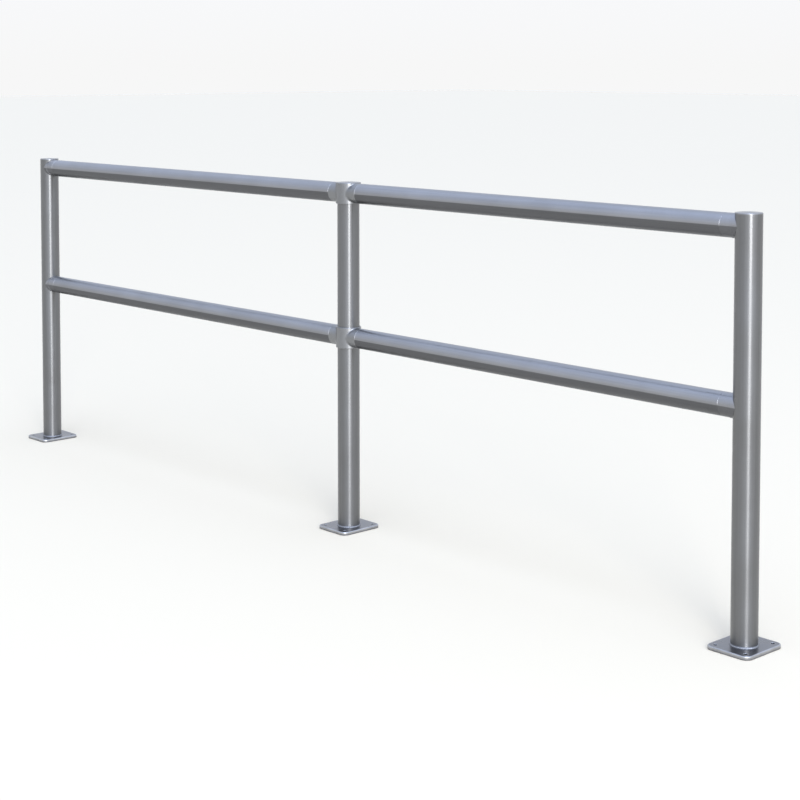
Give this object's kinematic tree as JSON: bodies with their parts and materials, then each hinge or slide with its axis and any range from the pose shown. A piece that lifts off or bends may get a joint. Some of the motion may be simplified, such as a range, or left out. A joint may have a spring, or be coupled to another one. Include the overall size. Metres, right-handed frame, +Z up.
{
  "type": "pipe railing",
  "caption": "Straight pipe railing of satin aluminium tube on bolted base plates, with a top rail and a low rail.",
  "frame": {"origin": "centre of the middle post's base plate, on its underside", "axes": "+X along the railing from the left post to the right post, +Z up, -Y the front"},
  "size_m": [3.12, 0.14, 1],
  "materials": {
    "post_tube": "satin drawn tube",
    "rail_tube": "satin drawn tube",
    "fitting": "fine blasted casting",
    "base_plate": "satin with a bright bevel",
    "weld": "bright rippled bead",
    "screw": "machined"
  },
  "bodies": {
    "root": {"left_post": "post_tube", "middle_post": "post_tube", "right_post": "post_tube", "left_base_plate": "base_plate", "middle_base_plate": "base_plate", "right_base_plate": "base_plate", "left_base_weld": "weld", "middle_base_weld": "weld", "right_base_weld": "weld", "left_cap": "fitting", "right_cap": "fitting", "middle_tee": "fitting", "middle_cross": "fitting", "middle_tee_screw": "screw", "middle_cross_screw": "screw", "left_top_rail": "rail_tube", "left_low_rail": "rail_tube", "right_top_rail": "rail_tube", "right_low_rail": "rail_tube", "left_top_saddle": "fitting", "left_low_saddle": "fitting", "right_top_saddle": "fitting", "right_low_saddle": "fitting", "left_top_adaptor": "fitting", "left_low_adaptor": "fitting", "right_top_adaptor": "fitting", "right_low_adaptor": "fitting", "left_top_screws": "screw", "left_low_screws": "screw", "right_top_screws": "screw", "right_low_screws": "screw"}
  },
  "joints": []
}
